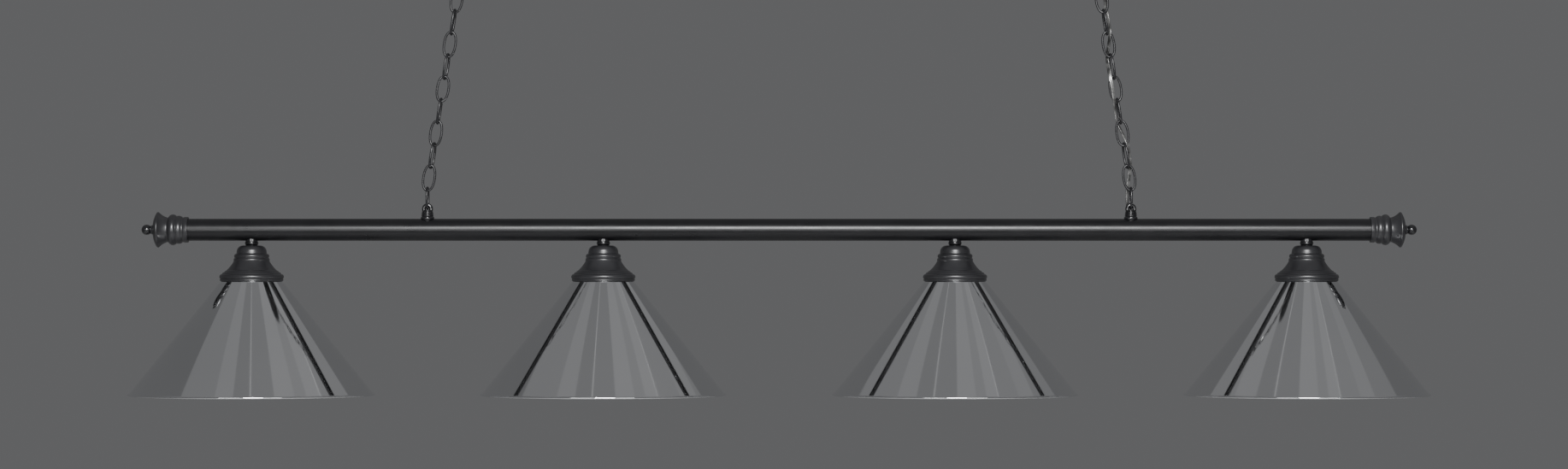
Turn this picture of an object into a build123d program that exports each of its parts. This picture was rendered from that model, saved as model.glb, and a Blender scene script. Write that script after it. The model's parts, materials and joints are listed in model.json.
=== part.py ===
from build123d import *
import os
from math import acos, atan2, cos, hypot, radians, sin, tan

# A pool table lamp: a turned bar with four cone shades under it, hung from two
# ceiling canopies on two chains that lean inward. Millimetres, +Z up, +X along the
# bar. The origin is on the ceiling plane, midway between the canopies.

os.makedirs("parts", exist_ok=True)

# Driving dimensions: the bar and what hangs under it
tube_d = 31.75
tube_wall = 1.2
tube_visible = 1707.0
tube_insert = 12.0
drop_spacing = 508.0
loop_x = 508.0
shade_top_r = 28.6
shade_rim_r = 176.1
shade_height = 183.0
shade_drop = 55.0
shade_sheet = 1.0
roll_r = 1.7

# Chains
wire_d = 3.4
link_width = 19.8
link_length = 39.5
short_reach = 29.75
lean_deg = 8.76
links_per_chain = 9
play = 0.15
open_play = 0.5
eye_wire_d = 4.6
eye_half_x = 6.1
eye_half_z = 5.1

# Ceiling hardware
canopy_r = 63.5
canopy_depth = 22.5
canopy_wall = 1.2
collar_height = 4.5
strap_length = 104.0
strap_width = 20.0
strap_thick = 2.0
slot_centre = 39.6875
slot_length = 14.0
slot_width = 4.8

# Threads, nipples and leads
nipple_r = 4.8
nipple_bore_r = 3.4
thread_gap = 0.05
cord_d = 3.0
cord_slack = 0.5
lead_r = 1.1
trunk_r = 1.4
wire_hole_x = 4.0
wire_hole_y = 4.8
wire_hole_rise = 13.0
nipple_reach = 3.0
stud_r = 3.0
plug_length = 10.0
nut_r = 6.6
nut_thick = 3.4
cope_gap = 0.02
neck_bottom = -22.7
cavity_top = -43.0

# Derived sizes
tube_r = tube_d / 2
tube_in_r = tube_r - tube_wall
tube_end = tube_visible / 2
reach = link_length - wire_d
bend_r = (link_width - wire_d) / 2
pitch = reach - wire_d - play
open_stretch = open_play - play
chain_span = (links_per_chain - 1) * pitch + 2 * (reach / 2 - wire_d - play)
lean = radians(lean_deg)
slope = (shade_rim_r - shade_top_r) / shade_height
drops = [(i - 1.5) * drop_spacing for i in range(4)]
sides = {"left": -1, "right": 1}

# Heights, worked down from the ceiling
loop_stack = 16.2
ceiling_eye_z = -canopy_depth - collar_height - 0.2 - loop_stack
ceiling_pivot_z = ceiling_eye_z - eye_half_z
top_wire_z = ceiling_pivot_z + eye_wire_d / 2 + wire_d / 2 + play
sway_z = top_wire_z - reach
level_z = sway_z - chain_span * cos(lean)
bar_eye_height = 30.0
level_height = 60.8
bar_z = level_z - level_height
sway_x = loop_x - chain_span * sin(lean)


def save(body, name, colour):
    """Label a finished piece and write its STEP file."""
    body.label = name
    body.color = Color(*colour)
    export_step(body, "parts/" + name + ".step")


black = (0.05, 0.05, 0.06)
steel = (0.6, 0.6, 0.62)
bright = (0.85, 0.86, 0.88)
brass = (0.8, 0.65, 0.3)
cream = (0.9, 0.9, 0.86)


def upright(x, z):
    """Plane of a turned outline: local x is the radius and local y is the height."""
    return Plane(origin=(x, 0, z), x_dir=(1, 0, 0), z_dir=(0, -1, 0))


def along_bar(x, z, side):
    """Plane of an outline turned about the bar: local x runs outward, local y is the radius."""
    return Plane(origin=(x, 0, z), x_dir=(side, 0, 0), z_dir=(0, -side, 0))


def vertical(x, z):
    """Axis of a turned piece."""
    return Axis((x, 0, z), (0, 0, 1))


def make_tube():
    """The bar's tube, with holes for the drops below and the loops above."""
    length = tube_visible + 2 * tube_insert
    with BuildPart() as bar_tube:
        with BuildSketch(Plane.YZ.offset(-length / 2)):
            with Locations((0, bar_z)):
                Circle(tube_r)
                Circle(tube_in_r, mode=Mode.SUBTRACT)
        extrude(amount=length)
        for x in drops:
            with BuildSketch(Plane.XY.offset(bar_z)):
                with Locations((x, 0)):
                    Circle(nipple_r + thread_gap)
            extrude(amount=-tube_r - 1, mode=Mode.SUBTRACT)
        for side in sides.values():
            with BuildSketch(Plane.XY.offset(bar_z)):
                with Locations((side * loop_x, 0)):
                    Circle(nipple_r + thread_gap)
            extrude(amount=tube_r + 1, mode=Mode.SUBTRACT)
    save(bar_tube.part, "bar_tube", black)


def make_end_cap(name, side):
    """Turned end cap: a socket over the tube, three rings, and a bell disc."""
    stop = tube_insert + 1
    with BuildPart() as end_cap:
        with BuildSketch(along_bar(side * tube_end, bar_z, side)):
            with BuildLine():
                Polyline((0, tube_r + thread_gap), (0, 18.1), (0.5, 18.5), (5.6, 18.5))
                Polyline((5.6, 18.5), (6.4, 17.8), (8.8, 17.8), (9.4, 19.0))
                ThreePointArc((9.4, 19.0), (12.6, 20.1), (15.8, 19.9))
                Line((15.8, 19.9), (17.0, 19.7))
                ThreePointArc((17.0, 19.7), (22.4, 22.2), (27.6, 19.4))
                ThreePointArc((27.6, 19.4), (29.2, 17.9), (31.5, 17.7))
                ThreePointArc((31.5, 17.7), (38.2, 20.0), (44.2, 25.2))
                ThreePointArc((44.2, 25.2), (46.1, 25.0), (47.0, 23.2))
                ThreePointArc((47.0, 23.2), (50.1, 17.4), (51.6, 9.6))
                Polyline((51.6, 9.6), (53.0, 7.0), (53.0, stud_r + thread_gap), (stop, stud_r + thread_gap))
                Polyline((stop, stud_r + thread_gap), (stop, tube_r + thread_gap), (0, tube_r + thread_gap))
            make_face()
        revolve(axis=Axis((0, 0, bar_z), (1, 0, 0)))
    save(end_cap.part, name, black)


def make_ball_finial(name, side):
    """Small ball with a turned neck and a stud that screws into the end plug."""
    ball_x = 60.1
    ball_r = 7.5
    with BuildPart() as ball_finial:
        with BuildSketch(along_bar(side * tube_end, bar_z, side)):
            with BuildLine():
                ball = CenterArc((ball_x, 0), ball_r, 0, 138)
                Polyline(ball @ 1, (53.6, 5.9), (53.1, 5.4), (53.1, stud_r), (6.0, stud_r), (6.0, 0),
                         ball @ 0)
            make_face()
        revolve(axis=Axis((0, 0, bar_z), (1, 0, 0)))
    save(ball_finial.part, name, black)


def make_end_plugs():
    """Steel plugs pressed in the tube's ends; the finials' studs screw into them."""
    with BuildPart() as end_plugs:
        for side in sides.values():
            with BuildSketch(Plane.YZ.offset(side * (tube_end + 1.5))):
                with Locations((0, bar_z)):
                    Circle(tube_in_r - thread_gap)
                    Circle(stud_r + thread_gap, mode=Mode.SUBTRACT)
            extrude(amount=side * plug_length)
    save(end_plugs.part, "end_plugs", steel)


def wire_plane(x, bead, up):
    """Plane across the slanted wire hole, at its inner end; the hole comes out beside the eye."""
    slant = Vector(-up * wire_hole_x, wire_hole_y, up * wire_hole_rise)
    return Plane(origin=(x, 0, bead), z_dir=slant)


def make_hang_loop(name, x, eye_z, up, coped):
    """Turned loop: eye, neck, collar and bead. up is 1 on the bar and -1 under a canopy."""
    bead = eye_z - up * loop_stack
    saddle = bar_z + tube_r * 0.6
    stud_foot = bar_z + 8.0
    with BuildPart() as hang_loop:
        with BuildSketch(Plane(origin=(x, 0, 0), x_dir=(1, 0, 0), z_dir=(0, -1, 0))):
            with BuildLine():
                Polyline((0, bead + up * 13.8), (5.6, bead + up * 13.8), (6.75, bead + up * 12.6),
                         (6.75, bead + up * 11.8), (8.6, bead + up * 11.0), (8.6, bead + up * 6.2),
                         (7.9, bead + up * 5.6))
                ThreePointArc((7.9, bead + up * 5.6), (9.85, bead + up * 2.8), (8.9, bead + up * 0.2))
                if coped:
                    Polyline((8.9, bead + 0.2), (9.4, bead - 0.2), (9.4, saddle), (0, saddle),
                             (0, bead + 13.8))
                else:
                    Polyline((8.9, bead + up * 0.2), (8.6, bead), (0, bead), (0, bead + up * 13.8))
            make_face()
        revolve(axis=vertical(x, 0))
        with BuildLine(upright(x, eye_z)) as eye_path:
            EllipticalCenterArc((0, 0), eye_half_x, eye_half_z, start_angle=0, arc_size=360)
        with BuildSketch(Plane(origin=eye_path.line @ 0, z_dir=eye_path.line % 0)):
            Circle(eye_wire_d / 2)
        sweep(path=eye_path.line)
        if coped:
            with BuildSketch(Plane.YZ.offset(x - 15)):
                with Locations((0, bar_z)):
                    Circle(tube_r + cope_gap)
            extrude(amount=30, mode=Mode.SUBTRACT)
            with BuildSketch(Plane.XY.offset(stud_foot)):
                with Locations((x, 0)):
                    Circle(nipple_r)
            extrude(amount=bead - stud_foot + 2.0)
            with BuildSketch(Plane.XY.offset(stud_foot)):
                with Locations((x, 0)):
                    Circle(nipple_bore_r)
            extrude(amount=8.5, mode=Mode.SUBTRACT)
        else:
            with BuildSketch(Plane.XY.offset(bead)):
                with Locations((x, 0)):
                    Circle(nipple_r + thread_gap)
            extrude(amount=-nipple_reach, mode=Mode.SUBTRACT)
        with BuildSketch(wire_plane(x, bead, up)):
            Circle(cord_d / 2 + cord_slack)
        extrude(amount=40.0, mode=Mode.SUBTRACT)
    save(hang_loop.part, name, black)


def make_lock_nuts():
    """Nuts inside the tube that hold the two loops."""
    with BuildPart() as loop_lock_nuts:
        for side in sides.values():
            with BuildSketch(Plane.XY.offset(bar_z + 9.0)):
                with Locations((side * loop_x, 0)):
                    RegularPolygon(nut_r, 6)
                    Circle(nipple_r + thread_gap, mode=Mode.SUBTRACT)
            extrude(amount=nut_thick)
    save(loop_lock_nuts.part, "loop_lock_nuts", brass)


def make_neck_balls():
    """Turned necks between the bar and the holders, coped to the tube."""
    with BuildPart() as neck_balls:
        for x in drops:
            with BuildSketch(upright(x, bar_z)):
                with BuildLine():
                    Polyline((8.9, -17.0), (8.9, -9.0), (nipple_r + thread_gap, -9.0),
                             (nipple_r + thread_gap, neck_bottom), (8.0, neck_bottom), (8.6, -21.9))
                    ThreePointArc((8.6, -21.9), (9.7, -19.4), (8.9, -17.0))
                make_face()
            revolve(axis=vertical(x, 0))
        with BuildSketch(Plane.YZ.offset(-tube_end)):
            with Locations((0, bar_z)):
                Circle(tube_r + cope_gap)
        extrude(amount=tube_visible, mode=Mode.SUBTRACT)
    save(neck_balls.part, "neck_balls", black)


def make_holder(name, x):
    """Bell-shaped shade holder: dome, two narrow rings, flare, and a bead at the rim."""
    with BuildPart() as holder:
        with BuildSketch(upright(x, bar_z)):
            with BuildLine():
                Line((nipple_r + thread_gap, neck_bottom), (13.5, neck_bottom))
                ThreePointArc((13.5, neck_bottom), (19.3, -25.9), (21.5, -31.4))
                Polyline((21.5, -31.4), (21.8, -34.0), (23.0, -34.9))
                ThreePointArc((23.0, -34.9), (25.2, -37.8), (24.5, -40.1))
                Line((24.5, -40.1), (24.5, -40.9))
                ThreePointArc((24.5, -40.9), (25.9, -43.0), (25.6, -45.0))
                ThreePointArc((25.6, -45.0), (29.9, -51.8), (36.4, -58.9))
                Polyline((36.4, -58.9), (38.6, -60.1), (39.4, -61.2))
                ThreePointArc((39.4, -61.2), (41.4, -62.2), (42.4, -63.6))
                Line((42.4, -63.6), (43.4, -64.2))
                ThreePointArc((43.4, -64.2), (46.3, -67.7), (44.9, -71.0))
                ThreePointArc((44.9, -71.0), (45.7, -72.6), (44.4, -74.0))
                Polyline((44.4, -74.0), (43.2, -72.6), (41.6, -67.4), (38.2, -62.9), (33.4, -58.2),
                         (27.6, -51.0), (23.7, -45.2), (22.9, -38.0), (19.9, -33.8))
                ThreePointArc((19.9, -33.8), (18.2, -27.8), (13.2, -24.8))
                Line((13.2, -24.8), (nipple_r + thread_gap, -24.8))
                Line((nipple_r + thread_gap, -24.8), (nipple_r + thread_gap, neck_bottom))
            make_face()
        revolve(axis=vertical(x, 0))
    save(holder.part, name, black)


def make_socket(name, x):
    """Lamp socket body: a boss on the nipple, a shoulder above the shade, a cavity for the bulb."""
    with BuildPart() as socket:
        with BuildSketch(upright(x, bar_z)):
            with BuildLine():
                Polyline((nipple_r + thread_gap, -24.8), (11.0, -24.8), (11.0, -27.4), (16.2, -29.6),
                         (16.2, -51.5), (22.4, -52.5), (22.4, -shade_drop), (19.8, -shade_drop),
                         (19.8, -76.0), (14.5, -76.0), (14.5, cavity_top), (3.6, cavity_top), (3.6, -34.0),
                         (nipple_r + thread_gap, -34.0), (nipple_r + thread_gap, -24.8))
            make_face()
        revolve(axis=vertical(x, 0))
    save(socket.part, name, cream)


def make_socket_shells():
    """Brass screw shells in the sockets."""
    with BuildPart() as socket_shells:
        for x in drops:
            with BuildSketch(Plane.XY.offset(bar_z - 74.5)):
                with Locations((x, 0)):
                    Circle(14.4)
                    Circle(13.5, mode=Mode.SUBTRACT)
            extrude(amount=28.0)
    save(socket_shells.part, "socket_shells", brass)


def make_socket_contacts():
    """Centre contacts of the sockets."""
    with BuildPart() as socket_contacts:
        for x in drops:
            with BuildSketch(Plane.XY.offset(bar_z - 44.3)):
                with Locations((x, 0)):
                    Circle(5.0)
            extrude(amount=1.3)
    save(socket_contacts.part, "socket_contacts", brass)


def make_shade(name, x):
    """Straight cone shade of spun sheet, with an inner flange and a rolled rim."""
    across = shade_sheet * hypot(1, slope)
    with BuildPart() as shade:
        with BuildSketch(upright(x, bar_z - shade_drop)):
            with BuildLine():
                Polyline((20.1, 0), (shade_top_r, 0), (shade_rim_r, -shade_height),
                         (shade_rim_r - across, -shade_height), (shade_top_r - across, -shade_sheet),
                         (20.1, -shade_sheet), (20.1, 0))
            make_face()
            with Locations((shade_rim_r, -shade_height)):
                Circle(roll_r)
        revolve(axis=vertical(x, 0))
    save(shade.part, name, bright)


def make_shade_ring(name, x):
    """Threaded ring that clamps the shade's flange against the socket's shoulder."""
    with BuildPart() as shade_ring:
        with BuildSketch(Plane.XY.offset(bar_z - shade_drop - shade_sheet - 6.0)):
            with Locations((x, 0)):
                Circle(24.8)
                Circle(19.85, mode=Mode.SUBTRACT)
                with PolarLocations(24.9, 24):
                    Circle(0.7, mode=Mode.SUBTRACT)
        extrude(amount=5.95)
    save(shade_ring.part, name, cream)


def make_drop_nipples():
    """Threaded nipples that join the bar, neck, holder and socket."""
    with BuildPart() as drop_nipples:
        for x in drops:
            with BuildSketch(Plane.XY.offset(bar_z - 33.8)):
                with Locations((x, 0)):
                    Circle(nipple_r)
                    Circle(nipple_bore_r, mode=Mode.SUBTRACT)
            extrude(amount=26.0)
    save(drop_nipples.part, "drop_nipples", brass)


def make_drop_nuts():
    """Nuts on the nipples inside the bar."""
    with BuildPart() as drop_nuts:
        for x in drops:
            with BuildSketch(Plane.XY.offset(bar_z - 12.4)):
                with Locations((x, 0)):
                    RegularPolygon(nut_r, 6)
                    Circle(nipple_r + thread_gap, mode=Mode.SUBTRACT)
            extrude(amount=nut_thick)
    save(drop_nuts.part, "drop_nuts", brass)


def make_bulb_base(name, x):
    """Screw base of a bulb: rolled thread, insulator and tip."""
    thread_pitch = 3.6
    turns = 5
    with BuildPart() as bulb_base:
        with BuildSketch(upright(x, bar_z)):
            with BuildLine():
                Polyline((0, -44.6), (3.4, -44.6), (4.2, -45.6), (8.6, -49.0), (12.2, -50.0))
                for turn in range(turns):
                    top = -50.0 - turn * thread_pitch
                    ThreePointArc((12.2, top), (13.1, top - thread_pitch / 2), (12.2, top - thread_pitch))
                Polyline((12.2, -50.0 - turns * thread_pitch), (12.9, -69.0), (12.9, -73.0), (0, -73.0),
                         (0, -44.6))
            make_face()
        revolve(axis=vertical(x, 0))
    save(bulb_base.part, name, brass)


def make_bulb_glass(name, x):
    """Pear-shaped glass of a bulb, 1 mm thick, its neck seated on the base."""
    globe_r = 30.0
    globe_z = -124.0
    neck_r = 12.4
    neck_z = -80.0
    swing = atan2(neck_z - globe_z, neck_r) - acos(globe_r / hypot(neck_r, neck_z - globe_z))
    with BuildPart() as bulb_glass:
        with BuildSketch(upright(x, bar_z)):
            for radius, neck in ((globe_r, neck_r), (globe_r - 1, neck_r - 1)):
                with BuildLine():
                    Polyline((0, -73.0), (neck, -73.0), (neck, neck_z),
                             (radius * cos(swing), globe_z + radius * sin(swing)))
                    ThreePointArc((radius * cos(swing), globe_z + radius * sin(swing)),
                                  (radius * cos(-0.785), globe_z + radius * sin(-0.785)),
                                  (0, globe_z - radius))
                    Line((0, globe_z - radius), (0, -73.0))
                make_face(mode=Mode.ADD if radius == globe_r else Mode.SUBTRACT)
        revolve(axis=vertical(x, 0))
    save(bulb_glass.part, name, cream)


def oval_plane(centre, up_dir, face_dir):
    """Plane of a link: local y runs along the chain, local z faces out of the oval."""
    return Plane(origin=centre, x_dir=up_dir.cross(face_dir), z_dir=face_dir)


def make_links(name, planes, reaches):
    """Oval links in one node, one on each plane; a reach is the bends' wire-to-wire height."""
    with BuildPart() as links:
        for plane, height in zip(planes, reaches):
            half = height / 2 - bend_r
            with BuildLine(plane) as oval:
                Line((bend_r, -half), (bend_r, half))
                ThreePointArc((bend_r, half), (0, half + bend_r), (-bend_r, half))
                Line((-bend_r, half), (-bend_r, -half))
                ThreePointArc((-bend_r, -half), (0, -half - bend_r), (bend_r, -half))
            with BuildSketch(Plane(origin=oval.line @ 0, z_dir=oval.line % 0)):
                Circle(wire_d / 2)
            sweep(path=oval.line)
    save(links.part, name, black)


def chain_frame(side):
    """Start of the leaning chain at the bar's link, and its direction."""
    start = Vector(side * loop_x, 0, level_z)
    upward = Vector(-side * sin(lean), 0, cos(lean))
    return start, upward


def chain_planes(side):
    """Planes of the leaning links. The left chain's first link reaches a little lower."""
    start, upward = chain_frame(side)
    across = Vector(0, 1, 0).cross(upward)
    planes = []
    for i in range(links_per_chain):
        travel = reach / 2 - wire_d - play + i * pitch
        if side < 0 and i == 0:
            travel -= open_stretch / 2
        face = Vector(0, 1, 0) if i % 2 == 0 else across
        planes.append(oval_plane(start + upward * travel, upward, face))
    return planes


def make_chains():
    """Leaning links, the upright link above them, and the short link on each bar loop."""
    upright_face = Vector(1, 0, 0)
    for word, side in sides.items():
        first = reach + open_stretch if side < 0 else reach
        make_links("chain_links_" + word, chain_planes(side), [first] + [reach] * (links_per_chain - 1))
        top = Vector(side * sway_x, 0, (top_wire_z + sway_z) / 2)
        make_links("top_link_" + word, [oval_plane(top, Vector(0, 0, 1), upright_face)], [reach])
        short = Vector(side * loop_x, 0, level_z - short_reach / 2)
        make_links("bar_link_" + word, [oval_plane(short, Vector(0, 0, 1), upright_face)], [short_reach])


def make_canopy(name, x):
    """Stepped dome that covers the ceiling box, open upward."""
    deep = -canopy_depth
    with BuildPart() as canopy:
        with BuildSketch(upright(x, 0)):
            with BuildLine():
                Polyline((7.2, deep + canopy_wall), (7.2, deep), (16.0, deep))
                ThreePointArc((16.0, deep), (19.0, deep + 1.2), (20.4, deep + 3.4))
                Line((20.4, deep + 3.4), (23.4, deep + 3.6))
                ThreePointArc((23.4, deep + 3.6), (42.0, deep + 7.8), (53.0, deep + 15.4))
                Polyline((53.0, deep + 15.4), (56.4, deep + 16.2), (57.4, deep + 17.6))
                ThreePointArc((57.4, deep + 17.6), (61.9, deep + 19.0), (canopy_r, -0.4))
                Polyline((canopy_r, -0.4), (canopy_r - canopy_wall, -0.4), (61.0, -2.4), (56.4, -3.6),
                         (52.4, -5.6))
                ThreePointArc((52.4, -5.6), (41.5, deep + 9.1), (23.2, deep + 4.9))
                Polyline((23.2, deep + 4.9), (19.4, deep + 4.6), (15.8, deep + canopy_wall),
                         (7.2, deep + canopy_wall))
            make_face()
        revolve(axis=vertical(x, 0))
    save(canopy.part, name, black)


def make_collar_ring(name, x):
    """Knurled ring that holds a canopy up against the ceiling."""
    with BuildPart() as collar_ring:
        with BuildSketch(Plane.XY.offset(-canopy_depth - collar_height)):
            with Locations((x, 0)):
                Circle(11.5)
                Circle(nipple_r + thread_gap, mode=Mode.SUBTRACT)
                with PolarLocations(11.6, 28):
                    Circle(0.5, mode=Mode.SUBTRACT)
        extrude(amount=collar_height)
    save(collar_ring.part, name, black)


def make_mounting_strap(name, x):
    """Flat strap screwed to the ceiling box through its slots."""
    with BuildPart() as mounting_strap:
        with BuildSketch(Plane.XY.offset(-strap_thick)):
            with Locations((x, 0)):
                RectangleRounded(strap_length, strap_width, 4.0)
                Circle(nipple_r + thread_gap, mode=Mode.SUBTRACT)
                with Locations((-slot_centre, 0), (slot_centre, 0)):
                    SlotOverall(slot_length, slot_width, mode=Mode.SUBTRACT)
        extrude(amount=strap_thick)
    save(mounting_strap.part, name, steel)


def make_ceiling_nipples():
    """Nipples from the straps down into the ceiling loops."""
    bottom = -canopy_depth - collar_height - nipple_reach
    with BuildPart() as ceiling_nipples:
        for side in sides.values():
            with BuildSketch(Plane.XY.offset(bottom)):
                with Locations((side * sway_x, 0)):
                    Circle(nipple_r)
                    Circle(nipple_bore_r, mode=Mode.SUBTRACT)
            extrude(amount=-bottom)
    save(ceiling_nipples.part, "ceiling_nipples", brass)


def make_strap_nuts():
    """Nuts that lock the nipples under the straps."""
    with BuildPart() as strap_nuts:
        for side in sides.values():
            with BuildSketch(Plane.XY.offset(-strap_thick - 4.0)):
                with Locations((side * sway_x, 0)):
                    RegularPolygon(8.0, 6)
                    Circle(nipple_r + thread_gap, mode=Mode.SUBTRACT)
            extrude(amount=4.0)
    save(strap_nuts.part, "strap_nuts", brass)


def cord_route():
    """The flat cord's route down the right chain, split where the hanging joints bend it.

    Along the chain a point is (travel from the bar's link, offset along the bar, depth)."""
    start, upward = chain_frame(1)
    across = Vector(0, 1, 0).cross(upward)
    bead_up = ceiling_eye_z + loop_stack
    bead_down = bar_z + bar_eye_height - loop_stack
    upper = [Vector(sway_x, 0, -6), Vector(sway_x, 0, bead_up),
             Vector(sway_x + wire_hole_x, wire_hole_y, bead_up - wire_hole_rise),
             Vector(sway_x + 5.2, 5.4, ceiling_pivot_z - 4.0), Vector(sway_x + 5.0, -1.5, sway_z + 14.0)]
    weave = [(290.0, 5.2, -4.7), (274.0, 4.4, 0.8), (258.0, 4.9, 4.9), (242.0, 5.2, 1.6),
             (226.0, 4.7, -4.9), (209.0, 0.0, -1.0), (193.5, -4.7, 4.9), (177.0, -5.4, 1.5),
             (161.0, -5.1, -4.7), (145.0, -4.4, -5.2), (128.5, -5.0, -4.9), (112.0, -5.6, -0.8),
             (96.0, -4.9, 4.8), (80.0, 0.0, 1.0), (63.5, 4.8, -4.9), (47.0, 5.5, -0.8),
             (31.0, 4.8, 4.8), (15.0, 0.0, 5.5)]
    chain = [start + upward * s + across * u + Vector(0, v, 0) for s, u, v in weave]
    lower = [Vector(loop_x - 4.9, 5.0, level_z - 3.0), Vector(loop_x - 5.3, 5.6, level_z - 19.0),
             Vector(loop_x - wire_hole_x, wire_hole_y, bead_down + wire_hole_rise),
             Vector(loop_x, 0, bead_down), Vector(loop_x, 0, bar_z + 4.0)]
    return upper, chain, lower


def corner_radii(points):
    """Largest tangent arcs that the two runs at each corner leave room for."""
    radii = []
    for before, here, after in zip(points, points[1:], points[2:]):
        turn = radians((here - before).get_angle(after - here))
        shorter = min((here - before).length, (after - here).length)
        radii.append(0.45 * shorter / tan(turn / 2))
    return radii


def make_cord_piece(name, points):
    """One stretch of the cord, as straight runs joined by tangent arcs."""
    radii = corner_radii(points)
    print(name, "radii", [round(r, 1) for r in radii])
    with BuildPart() as cord_piece:
        with BuildLine() as route:
            if radii:
                FilletPolyline(*points, radius=radii)
            else:
                Line(*points)
        with BuildSketch(Plane(origin=route.line @ 0, z_dir=route.line % 0)):
            Circle(cord_d / 2)
        sweep(path=route.line)
    save(cord_piece.part, name, steel)
    return route.wire().length


def make_cord():
    """The supply cord in three pieces, each riding with what it is woven through."""
    upper, chain, lower = cord_route()
    first = (upper[-1] + chain[0]) / 2
    last = (chain[-1] + lower[0]) / 2
    total = make_cord_piece("cord_upper", upper + [first])
    total += make_cord_piece("cord_chain", [first] + chain + [last])
    total += make_cord_piece("cord_lower", [last] + lower)
    print("cord length", round(total, 1))


def make_harness():
    """Leads inside the bar: a trunk between the outer drops and one lead down each drop."""
    lead_tail = 6.0
    with BuildPart() as harness:
        with BuildSketch(Plane.YZ.offset(drops[0] - lead_tail)):
            with Locations((0, bar_z)):
                Circle(trunk_r)
        extrude(amount=drops[-1] - drops[0] + 2 * lead_tail)
        for x in drops:
            with BuildSketch(Plane.XY.offset(bar_z)):
                with Locations((x, 0)):
                    Circle(lead_r)
            extrude(amount=cavity_top)
    save(harness.part, "harness", steel)


def make_splice():
    """Crimped splice where the supply cord joins the leads."""
    with BuildPart() as cord_splice:
        with BuildSketch(Plane.YZ.offset(loop_x - 9)):
            with Locations((0, bar_z)):
                Circle(4.0)
                Circle(trunk_r, mode=Mode.SUBTRACT)
        extrude(amount=18)
    save(cord_splice.part, "cord_splice", cream)


make_tube()
make_end_plugs()
for word, side in sides.items():
    make_end_cap("end_cap_" + word, side)
    make_ball_finial("ball_finial_" + word, side)
    make_hang_loop("bar_loop_" + word, side * loop_x, bar_z + bar_eye_height, 1, True)
    make_hang_loop("ceiling_loop_" + word, side * sway_x, ceiling_eye_z, -1, False)
    make_canopy("canopy_" + word, side * sway_x)
    make_collar_ring("collar_ring_" + word, side * sway_x)
    make_mounting_strap("mounting_strap_" + word, side * sway_x)
make_ceiling_nipples()
make_strap_nuts()
make_lock_nuts()
make_chains()
make_cord()
make_harness()
make_splice()
make_neck_balls()
make_drop_nipples()
make_drop_nuts()
make_socket_shells()
make_socket_contacts()
for number, x in enumerate(drops, 1):
    make_holder("holder_" + str(number), x)
    make_socket("socket_" + str(number), x)
    make_shade("shade_" + str(number), x)
    make_shade_ring("shade_ring_" + str(number), x)
    make_bulb_base("bulb_base_" + str(number), x)
    make_bulb_glass("bulb_glass_" + str(number), x)
print("bar axis", round(bar_z, 2), "sway axis", round(sway_x, 3), round(sway_z, 3))
print("swing axis", round(ceiling_pivot_z, 3), "level axis", round(level_z, 3))
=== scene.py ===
import json
import math

import bmesh
import bpy
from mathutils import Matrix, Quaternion, Vector


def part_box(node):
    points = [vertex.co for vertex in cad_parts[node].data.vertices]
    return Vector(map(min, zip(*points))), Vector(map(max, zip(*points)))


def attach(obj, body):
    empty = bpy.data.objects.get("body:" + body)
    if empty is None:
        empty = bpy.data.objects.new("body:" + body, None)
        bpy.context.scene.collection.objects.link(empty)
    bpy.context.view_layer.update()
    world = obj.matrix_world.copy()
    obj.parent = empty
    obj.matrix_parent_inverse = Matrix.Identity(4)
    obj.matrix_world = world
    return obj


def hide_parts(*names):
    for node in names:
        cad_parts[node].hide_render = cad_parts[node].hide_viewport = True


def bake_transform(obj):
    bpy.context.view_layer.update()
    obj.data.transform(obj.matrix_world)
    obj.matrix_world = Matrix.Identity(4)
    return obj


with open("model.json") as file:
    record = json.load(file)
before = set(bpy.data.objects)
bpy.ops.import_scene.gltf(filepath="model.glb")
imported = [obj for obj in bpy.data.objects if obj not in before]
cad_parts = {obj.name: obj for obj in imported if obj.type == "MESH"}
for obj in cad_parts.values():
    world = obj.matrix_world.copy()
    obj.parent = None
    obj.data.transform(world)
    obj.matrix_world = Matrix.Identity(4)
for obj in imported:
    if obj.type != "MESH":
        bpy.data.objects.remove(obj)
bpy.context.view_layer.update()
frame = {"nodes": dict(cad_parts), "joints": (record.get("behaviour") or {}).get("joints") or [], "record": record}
nodes = frame["nodes"]
MM = 0.001


def middle(node):
    """Centre of a CAD node's box."""
    low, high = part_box(node)
    return (low + high) / 2


CAP_OVERLAP = 12 * MM
bar_z = middle("bar_tube").z
cap_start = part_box("bar_tube")[1].x - CAP_OVERLAP
drop_x = [middle(f"shade_{i}").x for i in range(1, 5)]
hang_x = middle("bar_link_right").x
canopy_x = middle("canopy_right").x
joint = {j["name"]: Vector(j["pos_m"]) for j in frame["joints"]}


# ---------------------------------------------------------------- camera and stage

CAMERA_DISTANCE = 6.0
VIEW_WIDTH = 2.265
CAMERA_DROP = 0.062
CAMERA_SIDE = 0.007
CAMERA_PITCH = 0.527


def make_camera():
    """The long lens stands level with the shades' tops and looks up a little."""
    data = bpy.data.cameras.new("camera")
    data.sensor_width = 36.0
    data.lens = data.sensor_width * CAMERA_DISTANCE / VIEW_WIDTH
    data.clip_end = 100.0
    camera = bpy.data.objects.new("camera", data)
    camera.location = (CAMERA_SIDE, -CAMERA_DISTANCE, bar_z - CAMERA_DROP)
    camera.rotation_euler = (math.radians(90 + CAMERA_PITCH), 0, 0)
    bpy.context.scene.collection.objects.link(camera)
    bpy.context.scene.camera = camera


make_camera()


# ---------------------------------------------------------------- materials

def new_material(name):
    """A node material with its shader and a place to hang textures."""
    material = bpy.data.materials.new(name)
    material.use_nodes = True
    tree = material.node_tree
    shader = tree.nodes["Principled BSDF"]
    place = tree.nodes.new("ShaderNodeTexCoord")
    return material, tree, shader, place.outputs["Object"]


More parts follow.
